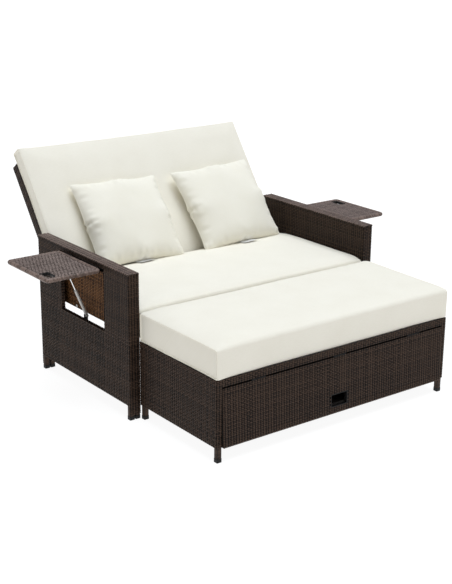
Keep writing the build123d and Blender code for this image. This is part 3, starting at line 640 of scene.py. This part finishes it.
def dress_tray(side, hand):
    """One tray's woven panel and wrapped rim. The right tray is the left one turned round."""
    body = hand + "_tray"
    rim_near, rim_far, rim_half, rim_radius, rim_round = 619.5, 836.5, 148.5, 7.55, 10.0
    panel_near, panel_far, panel_half, panel_pitch = 626.5, 829.5, 141.5, (7.0, 16.0)
    slot_near, slot_far, slot_low, slot_high, slot_round = 786.0, 822.0, -130.0, -68.0, 5.0
    panel_top, rim_level, lip_level, rim_sides, lip_sides = 551.6, 546.5, 549.5, 14, 8
    lip_radius, lip_pitch, lip_lift = 2.0, 6.0, 0.3
    wall_top, wall_bottom, wall_inset, wall_points = 1.0, -10.5, 0.4, 61
    middle = np.array((0.0, 331.5, 0.0))
    turn = -side
    panel_axes = (middle, turn * along_y, up_z, -turn * across_x)
    panel_path = rounded_path([(panel_half, panel_top), (-panel_half, panel_top)])
    marks = lengths_at(panel_path, (slot_low, panel_top), (slot_high, panel_top))

    def kept(s, x):
        return ~((s > marks[1]) & (s < marks[0]) & (x > slot_near) & (x < slot_far))

    panel = woven("tray_panel_" + hand, panel_path, panel_near, panel_far, panel_axes,
                  tray_wicker, kept, marks, [slot_near, slot_far], panel_pitch)
    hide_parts("tray_weave_" + hand)

    flat_axes = (-turn * across_x, turn * along_y, up_z)
    ring = rounded_path([(rim_near, -rim_half), (rim_far, -rim_half), (rim_far, rim_half),
                         (rim_near, rim_half)], rim_round, True)
    rim = wrapped("tray_rim_" + hand, ring, (middle + rim_level * up_z, *flat_axes), rim_radius,
                  rim_sides, top_wicker)

    lip_axes = (middle + lip_level * up_z, *flat_axes)
    edge = rounded_path([(slot_near, slot_low), (slot_far, slot_low), (slot_far, slot_high),
                         (slot_near, slot_high)], slot_round, True)
    lip = wrapped("tray_slot_lip_" + hand, edge, lip_axes, lip_radius, lip_sides,
                  black_plastic, pitch=lip_pitch, lift=lip_lift)
    for piece in (panel, rim, lip):
        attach(piece, body)

    place, facing = sample(edge, np.linspace(0, edge[2][-1], wall_points))
    levels = np.repeat([[wall_top], [wall_bottom]], len(place), axis=1)
    lift = np.full(levels.shape, wall_inset)
    wall = in_space(lip_axes, place[None], facing[None], lift, levels)
    sleeve = make_piece("tray_slot_sleeve_" + hand, wall, grid_faces((1,) + levels.shape),
                        black_plastic)
    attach(sleeve, body)


# Backrest


def dress_back():
    """The back's woven rear, and its edges from side_low up, with a short return in front."""
    half, near, far, return_half = 551.1, -14.1, 34.1, 520.0
    rear_low, side_low, high, pitch = -18.0, 120.0, 586.0, (8.4, 14.0)
    top_half = 551.5
    corners = [(half, near), (half, far), (-half, far), (-half, near)]
    ring = rounded_path([(-return_half, near), *corners[::-1], (return_half, near)])
    ring = (ring[0][::-1], -ring[1][::-1], ring[2][-1] - ring[2][::-1])
    ends = lengths_at(ring, *corners)

    def kept(s, up):
        rear = (s > ends[1]) & (s < ends[2])
        return rear | (up > side_low)

    skin = woven("back_skin", ring, rear_low, high, back_axes, brown_wicker, kept, ends,
                 [side_low], pitch)
    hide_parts("back_rear_weave", "back_edge_weave")
    over = capped(far=34.9, near=-14.9, low=560.0, high=587.3)
    top = woven("back_top", over, -top_half, top_half,
                (pivot, back_behind, back_up, back_right), brown_wicker)
    for piece in (skin, top):
        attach(piece, "backrest")


# Ottoman


def dress_ottoman():
    """The ottoman's woven skin and legs, open in front between the posts, below the band."""
    half, front, rear, post = 562.2, -481.1, -1.6, 539.0
    low, high, band_low, leg_top = 56.0, 310.0, 282.0, 60.0
    leg_places = [(-548, -470), (548, -470), (-548, -13.5), (548, -13.5)]
    corners = [(-half, front), (half, front), (half, rear)]
    ring = rounded_path([(-half, rear), *corners], tight_round, True)
    posts = lengths_at(ring, (-post, front), (post, front))

    def kept(s, z):
        return ~((s > posts[0]) & (s < posts[1]) & (z < band_low))

    skin = woven("ottoman_skin", ring, low, high, row_axes, brown_wicker, kept,
                 posts + lengths_at(ring, *corners), [band_low])
    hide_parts("ottoman_side_weave", "ottoman_rear_weave", "ottoman_front_band")
    legs = [wrapped_leg(f"ottoman_leg_wrap_{index}", x, y, leg_top)
            for index, (x, y) in enumerate(leg_places)]
    for piece in (skin, *legs):
        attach(piece, "ottoman")


def dress_flap():
    """The flap's woven face, with the hand hole, and its lower edge. It hangs 2.5 degrees out."""
    swing = math.radians(2.5)
    up = np.array((0.0, math.sin(swing), math.cos(swing)))
    out = np.array((0.0, math.cos(swing), -math.sin(swing)))
    hinge_z = 279.4
    hinge = np.array((0.0, -481.0, hinge_z))
    half, face, rear, hole_half = 536.9, -0.1, 17.5, 41.0
    low, high, hole_low, hole_high = (z - hinge_z for z in (56.0, 276.8, 81.0, 132.0))
    path = rounded_path([(-half, rear), (-half, face), (half, face), (half, rear)])
    hole = lengths_at(path, (-hole_half, face), (hole_half, face))

    def kept(s, z):
        return ~((s > hole[0]) & (s < hole[1]) & (z > hole_low) & (z < hole_high))

    flap = woven("flap_skin", path, low, high, (hinge, across_x, out, up), brown_wicker, kept,
                 hole, [hole_low, hole_high])
    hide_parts("flap_weave")

    binding_half, binding_round, fold = 537.0, 2.0, 1.0
    turned_up, bottom = 60.0 - hinge_z, 54.8 - hinge_z
    under = rounded_path([(-fold, turned_up), (fold, bottom), (rear, bottom)], binding_round)
    binding = woven("flap_lower_binding", under, -binding_half, binding_half,
                    (hinge, out, up, across_x), brown_wicker)
    for piece in (flap, binding):
        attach(piece, "flap")


def dress_apron():
    """The strip of weave under the seat cushion's front."""
    half, face, low, high = 556.0, 1.9, 322.0, 350.0
    path = rounded_path([(-half, face), (half, face)])
    apron = woven("seat_apron", path, low, high, row_axes, brown_wicker)
    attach(apron, "sofa")


# Cushions

round_shares = (0.0, 0.3, 0.65, 1.0)


def points_of(piece, word="co"):
    found = np.zeros(len(piece.data.vertices) * 3, np.float32)
    piece.data.vertices.foreach_get(word, found)
    return found.reshape(-1, 3).astype(float)


def set_points(piece, points):
    piece.data.vertices.foreach_set("co", points.astype(np.float32).ravel())
    piece.data.update()


def evaluated(piece):
    return piece.evaluated_get(bpy.context.evaluated_depsgraph_get())


def fill(piece, pressure, frames, cap, stiffness=15.0, bending=0.5, held=()):
    """Blows the piece up as cloth, each point within cap metres of its start and the held ones
    on it."""
    start = points_of(piece)
    cloth = piece.modifiers.new("fill", "CLOTH")
    settings = cloth.settings
    settings.tension_stiffness = settings.compression_stiffness = stiffness
    settings.shear_stiffness = stiffness / 3
    settings.bending_stiffness = bending
    settings.use_pressure = True
    settings.uniform_pressure_force = pressure
    settings.effector_weights.gravity = 0
    cloth.collision_settings.use_collision = False
    cloth.point_cache.frame_start = 1
    cloth.point_cache.frame_end = frames
    for moment in range(1, frames + 1):
        scene.frame_set(moment)
    step = points_of(evaluated(piece)) - start
    piece.modifiers.remove(cloth)
    scene.frame_set(1)
    far = np.linalg.norm(step, axis=1, keepdims=True)
    step *= np.minimum(1, cap / np.maximum(far, tiny))
    step[list(held)] = 0
    set_points(piece, start + step)


def refine(piece):
    """Subdivides the piece once and keeps the result as its mesh."""
    modifier = piece.modifiers.new("refine", "SUBSURF")
    modifier.levels = modifier.render_levels = 1
    mesh = bpy.data.meshes.new_from_object(evaluated(piece))
    piece.modifiers.remove(modifier)
    old, name = piece.data, piece.data.name
    piece.data = mesh
    bpy.data.meshes.remove(old)
    mesh.name = name


def box_lattice(xs, ys, zs):
    """The points and quads of a box's skin on the given lines, and each lattice place's point."""
    shape = (len(xs), len(ys), len(zs))
    number, points, quads = {}, [], []

    def spot(*place):
        if place not in number:
            number[place] = len(points)
            points.append((xs[place[0]], ys[place[1]], zs[place[2]]))
        return number[place]

    for fixed in range(3):
        first, second = [axis for axis in range(3) if axis != fixed]
        for end in (0, shape[fixed] - 1):
            for a in range(shape[first] - 1):
                for b in range(shape[second] - 1):
                    ring = []
                    for da, db in ((0, 0), (1, 0), (1, 1), (0, 1)):
                        place = [0, 0, 0]
                        place[fixed], place[first], place[second] = end, a + da, b + db
                        ring.append(spot(*place))
                    outward = (end > 0) == (fixed != 1)
                    quads.append(ring if outward else ring[::-1])
    return np.array(points, float), np.array(quads), number


def cushion_line(length, near, far, step=19.0):
    """Lines along one side: close together in the rounded ends."""
    near_lines = [near * share for share in round_shares]
    far_lines = [length - far * share for share in round_shares[::-1]]
    count = max(2, round((length - near - far) / step))
    inner = np.linspace(near, length - far, count + 1)[1:-1]
    return np.array(near_lines + list(inner) + far_lines) - length / 2


def boxed_cushion(name, size, rounds, crown):
    """A filled cushion on z = 0: one panel wraps front, top, rear and bottom, and an end panel
    closes each side. Its front and ends draw in by a few millimetres between the corners."""
    width, depth, height = size
    front_top, rear_top, front_low, rear_low, end = rounds
    draw_front, draw_end = 3.0, 2.0
    xs = cushion_line(width, end, end)
    ys = cushion_line(depth, front_top, rear_top)
    zs = cushion_line(height, front_low, front_top) + height / 2
    points, quads, number = box_lattice(xs, ys, zs)
    x, y, z = points.T
    front, high = y < 0, z > height / 2
    radius = np.where(high, np.where(front, front_top, rear_top),
                      np.where(front, front_low, rear_low))
    inner_y = np.clip(y, radius - depth / 2, depth / 2 - radius)
    inner_z = np.clip(z, radius, height - radius)
    past_y, past_z = y - inner_y, z - inner_z
    far = np.hypot(past_y, past_z)
    reach = np.minimum(radius, np.maximum(np.abs(past_y), np.abs(past_z)))
    pull = np.where(far > tiny, reach / np.maximum(far, tiny), 1.0)
    y, z = inner_y + past_y * pull, inner_z + past_z * pull
    over = np.clip((np.abs(x) - (width / 2 - end)) / end, 0, 1)
    inset = end * (1 - np.sqrt(1 - over ** 2))
    y = y * (1 - inset / (depth / 2))
    z = height / 2 + (z - height / 2) * (1 - inset / (height / 2))
    u, v = 2 * x / width, 2 * y / depth
    z = z + np.clip(z / height, 0, 1) ** 2 * crown(u, v)
    y = y * (1 - draw_front / (depth / 2) * (1 - u ** 2) * np.abs(v) ** 6)
    x = x * (1 - draw_end / (width / 2) * (1 - (2 * y / depth) ** 2) * np.abs(u) ** 6)
    piece = make_piece(name, stacked(x, y, z) / 1000, quads, ivory_cloth)
    return piece, [end_panel_line(number, (len(xs), len(ys), len(zs)), side) for side in (0, -1)]


def end_panel_line(number, shape, side):
    """Indices of the lattice points round one end panel, in order. side is 0 or -1."""
    i = range(shape[0])[side]
    last_y, last_z = shape[1] - 1, shape[2] - 1
    places = [(j, 0) for j in range(last_y)] + [(last_y, k) for k in range(last_z)]
    places += [(j, last_z) for j in range(last_y, 0, -1)] + [(0, k) for k in range(last_z, 0, -1)]
    return [number[(i, j, k)] for j, k in places]


def stir(piece, size, height, seed):
    """Gentle hollows and swellings of soft filling, up to height metres."""
    points = points_of(piece)
    normals = points_of(piece, "normal")
    for index, point in enumerate(points):
        spot = Vector(point) / size + Vector((seed, seed * 0.7, 0))
        lift = noise.noise(spot) + 0.45 * noise.noise(spot * 2.7)
        points[index] += normals[index] * lift * height
    set_points(piece, points)


def seam(name, line, material, radius=0.0011, around=6):
    """A thin welt along a closed line of row-frame points."""
    along = unit(np.roll(line, -1, 0) - np.roll(line, 1, 0))
    outward = line - line.mean(0)
    outward = unit(outward - (outward * along).sum(1, keepdims=True) * along)
    third = np.cross(along, outward)
    angles = np.linspace(0, 2 * math.pi, around, endpoint=False)[:, None]
    ring = outward[:, None] * np.cos(angles) + third[:, None] * np.sin(angles)
    points = line[:, None] + radius * ring
    number = np.arange(len(line) * around).reshape(len(line), around)
    number = np.pad(number, ((0, 1), (0, 1)), mode="wrap")
    quads = np.stack((number[:-1, :-1], number[:-1, 1:], number[1:, 1:], number[1:, :-1]), -1)
    return make_piece(name, points, quads, material)


def finished_cushion(name, size, rounds, crown, matrix, limits, node, seed):
    """A filled cushion with a welt round each end, put in place inside the limits' box."""
    piece, ends = boxed_cushion(name, size, rounds, crown)
    fill(piece, pressure=3.0, frames=16, cap=0.006, held=ends[0] + ends[1])
    stir(piece, size=0.2, height=0.0016, seed=seed)
    refine(piece)
    piece.data.transform(matrix)
    set_points(piece, np.clip(points_of(piece), *limits))
    points = points_of(piece)
    seams = [seam(f"{name}_seam_{word}", points[line], seam_cloth)
             for line, word in zip(ends, ("left", "right"))]
    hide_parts(node)
    return piece, seams


def seat_crown(u, v):
    """How far the seat's top rises: full at the front and falling to the back."""
    rise, fall, end_fall = 20.0, 0.55, 0.12
    along = (1 - fall * np.clip(v, 0, 1) ** 2.4) * (1 - np.abs(v) ** 16)
    return rise * along * (1 - end_fall * np.abs(u) ** 14)


def ottoman_crown(u, v):
    """The ottoman's top: highest along the seat, lower to its front edge, full at the right."""
    rise, tilt, right_fall, left_fall = 14.0, 4.0, 0.2, 1.0
    ends = np.where(u > 0, right_fall, left_fall) * np.abs(u) ** 14
    return (rise + tilt * v) * (1 - np.abs(v) ** 12) * (1 - ends)


def back_crown(u, v):
    rise = 11.0
    return rise * (1 - np.abs(v) ** 8) * (1 - np.abs(u) ** 14)


def lean_rear(piece):
    """Slants the seat's rear so that its top reaches back to the back cushion."""
    begins, ends, low, high, reach = 490.0, 541.0, 350.0, 422.0, 12.0
    points = points_of(piece)
    along = np.clip((points[:, 1] * 1000 - row_y - begins) / (ends - begins), 0, 1)
    rise = np.clip((points[:, 2] * 1000 - low) / (high - low), 0, 1)
    points[:, 1] += along ** 2 * rise * reach / 1000
    set_points(piece, points)


def place_cushions():
    half = 556.6
    limits = to_row([(-half, 0.5, 350.2), (half, 555.0, 448.0)])
    seat, seams = finished_cushion(
        "seat_pad", size=(1114.0, 541.0, 72.0), rounds=(9.0, 7.0, 4.0, 6.0, 4.0),
        crown=seat_crown, matrix=shift_to((0.0, 271.0, 350.0)), limits=limits,
        node="seat_cushion", seed=3.1)
    for piece in [seat] + seams:
        lean_rear(piece)
        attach(piece, "sofa")

    limits = to_row([(-567.0, -487.0, 310.4), (567.0, -0.5, 448.0)])
    top, seams = finished_cushion(
        "ottoman_pad", size=(1125.0, 481.0, 112.0), rounds=(12.0, 6.0, 3.0, 3.0, 3.0),
        crown=ottoman_crown, matrix=shift_to((0.0, -241.5, 310.0)), limits=limits,
        node="ottoman_cushion", seed=8.3)
    for piece in [top] + seams:
        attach(piece, "ottoman")

    lies_ahead, middle_up, bend_length, anywhere = 15.5, 330.0, 130.0, 5.0
    spot = pivot - lies_ahead * back_behind + middle_up * back_up
    turn = Matrix((back_right, back_up, -back_behind)).transposed().to_4x4()
    limits = np.outer((-1, 1), (half / 1000, anywhere, anywhere))
    back, seams = finished_cushion(
        "back_pad", size=(1114.0, 600.0, 58.0), rounds=(7.0, 7.0, 5.0, 5.0, 4.0),
        crown=back_crown, matrix=shift_to(spot) @ turn, limits=limits, node="back_cushion",
        seed=5.7)
    start, end = to_row(pivot), to_row(pivot + bend_length * back_up)
    for piece in [back] + seams:
        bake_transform(piece)


# Pillows

pillow_spans = 34
cloth_size = 400.0
cloth_puff = 12.0


def pillow_cloth(name, material):
    """Two squares of cloth sewn round their edge. Returns the points' numbers by place as well:
    column, row and side, where side is 0 on the shared edge."""
    shares = np.linspace(-1, 1, pillow_spans + 1)
    ends = (0, pillow_spans)
    number, points, quads = {}, [], []

    def key(i, j, side):
        return (i, j, 0 if i in ends or j in ends else side)

    for side in (-1, 1):
        for i, u in enumerate(shares):
            for j, v in enumerate(shares):
                if key(i, j, side) in number:
                    continue
                number[key(i, j, side)] = len(points)
                puff = (1 - u * u) * (1 - v * v)
                points.append((u * cloth_size / 2, side * cloth_puff * puff ** 0.5,
                               v * cloth_size / 2))
    for side in (-1, 1):
        for i in range(pillow_spans):
            for j in range(pillow_spans):
                ring = [number[key(i + di, j + dj, side)]
                        for di, dj in ((0, 0), (1, 0), (1, 1), (0, 1))]
                quads.append(ring if side < 0 else ring[::-1])
    return make_piece(name, np.array(points) / 1000, np.array(quads), material), number


def straighten_sides(spots, number, bow=0.06):
    """Leaves each side only slightly hollow between the pillow's corners."""
    row, column = np.zeros(len(spots), int), np.zeros(len(spots), int)
    for (i, j, _), index in number.items():
        column[index], row[index] = i, j
    middle = 1 - np.linspace(-1, 1, pillow_spans + 1) ** 2
    on_side, on_end = column % pillow_spans == 0, row % pillow_spans == 0
    for axis, outer, line_of in ((0, on_side, row), (2, on_end, column)):
        corner = np.abs(spots[on_side & on_end, axis]).mean()
        for step in range(pillow_spans + 1):
            line = line_of == step
            edge = np.abs(spots[line & outer, axis]).mean()
            spots[line, axis] *= corner * (1 - bow * middle[step]) / edge


def pucker(piece, seed, reach=0.0015, inset=0.13, spread=0.07):
    """Small gathers round a line that lies inset of the half width in from the sewn edge."""
    spots = points_of(piece)
    half = np.abs(spots).max(0)
    u, v = spots[:, 0] / half[0], spots[:, 2] / half[2]
    inward = 1 - np.maximum(np.abs(u), np.abs(v))
    along = np.where(np.abs(u) > np.abs(v), v, u)
    ripple = np.sin(26 * along + seed) + 0.7 * np.sin(41 * along + 2.3 * seed)
    depth = reach * ripple * np.exp(-((inward - inset) / spread) ** 2)
    spots[:, 1] += np.sign(spots[:, 1]) * depth
    set_points(piece, spots)


def sewn_pillow(name, seed, material):
    """A filled pillow that stands on z = 0 and faces -y, and its rim's points in order. Sizes
    are in metres, and the swells are measured from the seam."""
    width, height, front_swell, rear_swell = 0.411, 0.388, 0.068, 0.036
    piece, number = pillow_cloth(name, material)
    fill(piece, pressure=9.0, frames=28, cap=0.2, stiffness=14.0, bending=0.6)
    spots = points_of(piece)
    spots -= (spots.max(0) + spots.min(0)) / 2
    straighten_sides(spots, number)
    last, up, down = pillow_spans, range(pillow_spans), range(pillow_spans, 0, -1)
    rim = [number[(i, 0, 0)] for i in up] + [number[(last, j, 0)] for j in up]
    rim += [number[(i, last, 0)] for i in down] + [number[(0, j, 0)] for j in down]
    spots[:, 1] -= spots[rim, 1].mean()
    front, rear = -spots[:, 1].min(), spots[:, 1].max()
    spots[:, 1] *= np.where(spots[:, 1] < 0, front_swell / front, rear_swell / rear)
    set_points(piece, spots)
    stir(piece, size=0.09, height=0.0022, seed=seed)
    refine(piece)
    pucker(piece, seed)
    spots = points_of(piece)
    reach = spots.max(0) - spots.min(0)
    spots[:, 0] *= width / reach[0]
    spots[:, 2] *= height / reach[2]
    spots[:, 2] -= spots[:, 2].min()
    set_points(piece, spots)
    return piece, rim


def care_tag(name, spot, width=0.072, length=0.046):
    """A blank strip of cloth sewn into the pillow's lower seam, its free end on the seat."""
    seat_level, seat_reach, slack = 0.415, 0.06, 0.97
    gap, curl, end_lift, seam_rate = 0.0026, 0.0008, 0.004, 2.5
    u, v = np.meshgrid(np.linspace(-0.5, 0.5, 9), np.linspace(0, 1, 7), indexing="ij")
    x, y = spot[0] + width * u, spot[1] - length * v * slack
    seat = points_of(bpy.data.objects["seat_pad"])
    seat = seat[(seat[:, 2] > seat_level) & (np.abs(seat[:, 0] - spot[0]) < seat_reach)]
    near = np.abs(seat[:, 0] - x.reshape(-1, 1)) + np.abs(seat[:, 1] - y.reshape(-1, 1))
    under = seat[near.argmin(1), 2].reshape(x.shape)
    under = under + gap + curl * np.sin(5 * u) + end_lift * v ** 2
    share = np.clip(v * seam_rate, 0, 1)
    z = np.maximum((1 - share) * spot[2] + share * under, under)
    return make_piece(name, stacked(x, y, z), grid_faces((1,) + u.shape), tag_cloth)


def place_pillow(hand, x, turn, seed, tag_x, ahead):
    """Leans a pillow against the back, x mm along it, turned in its plane by turn degrees and
    moved ahead of its usual place. Its tag is sewn in nearest to tag_x metres."""
    body = hand + "_pillow"
    half_side, front_gap, stand, tilt = 200.0, 130.0, 21.5, -3.4
    piece, rim = sewn_pillow("pillow_pad_" + hand, seed, cream_cloth)
    rise = half_side * math.sin(math.radians(abs(turn)))
    lie = Matrix((back_right, back_behind, back_up)).transposed().to_4x4()
    spot = pivot + x * back_right - front_gap * back_behind + (stand + rise) * back_up
    middle = Matrix.Translation((0, 0, half_side / 1000))
    forward = Matrix.Rotation(math.radians(tilt), 4, "X")
    spin = Matrix.Rotation(math.radians(-turn), 4, "Y")
    piece.data.transform(shift_to(spot - ahead * along_y) @ lie @ forward @ middle @ spin
                         @ middle.inverted())
    piece.data.update()
    points = points_of(piece)
    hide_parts("pillow_" + hand)
    edge = seam("pillow_seam_" + hand, points[rim], cream_cloth, 0.0018)
    line = points[rim][:pillow_spans]
    nearest = line[np.argmin(np.abs(line[:, 0] - tag_x))]
    tag = care_tag("pillow_tag_" + hand, nearest)
    for item in (piece, edge, tag):
        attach(item, body)


# Room


def make_floor(reach=40.0):
    """A pale floor that glows to white and takes a faint shadow."""
    mesh = bpy.data.meshes.new("floor")
    corners = [(-reach, -reach, 0), (reach, -reach, 0), (reach, reach, 0), (-reach, reach, 0)]
    mesh.from_pydata(corners, [], [(0, 1, 2, 3)])
    look = Look("pale_floor")
    low, high = (0.15, 0.15, 0.15), (0.17, 0.17, 0.17)
    look.colour(look.scatter(look.place(), 0.8, 2.0), (0.3, low), (0.7, high))
    look.surface("Roughness", 0.9)
    look.shader.inputs["Emission Color"].default_value = (1, 1, 1, 1)
    look.surface("Emission Strength", 0.92)
    mesh.materials.append(look.material)
    add_object("floor", mesh)


def make_light():
    """An even white sky and one very soft sun from above."""
    world = bpy.data.worlds.new("studio")
    scene.world = world
    world.use_nodes = True
    background = world.node_tree.nodes["Background"]
    background.inputs["Color"].default_value = (1.0, 1.0, 1.0, 1)
    background.inputs["Strength"].default_value = 0.34
    light = bpy.data.lights.new("key", "SUN")
    light.energy = 2.4
    light.angle = math.radians(48)
    light.color = (0.89, 0.94, 1.0)
    towards = Vector((-0.12, 0.07, -1.0))
    add_object("key", light).rotation_euler = towards.to_track_quat("-Z", "Y").to_euler()


def make_camera():
    """The photograph's camera, fitted to straight edges of the arms, seat, ottoman and trays."""
    data = bpy.data.cameras.new("camera")
    data.sensor_width = 36.0
    data.lens = 75.3
    data.clip_end = 200.0
    camera = add_object("camera", data)
    right = Vector((0.79760186, -0.60312098, 0.00873829))
    up = Vector((0.18218987, 0.25469808, 0.94970297))
    facing = Matrix((right, up, right.cross(up))).transposed().to_4x4()
    camera.matrix_world = Matrix.Translation((-2.872, -3.8016, 1.901)) @ facing
    scene.camera = camera


scene.view_settings.view_transform = "Standard"
make_camera()
make_floor()
make_light()
finish_cad_nodes()
for side, hand in ((-1, "left"), (1, "right")):
    dress_arm(side, hand)
    dress_tray(side, hand)
dress_back()
dress_ottoman()
dress_flap()
dress_apron()
place_cushions()
place_pillow("left", x=-212.0, turn=-1.8, seed=2.3, tag_x=-0.215, ahead=11.0)
place_pillow("right", x=291.0, turn=2.0, seed=6.1, tag_x=0.308, ahead=24.0)
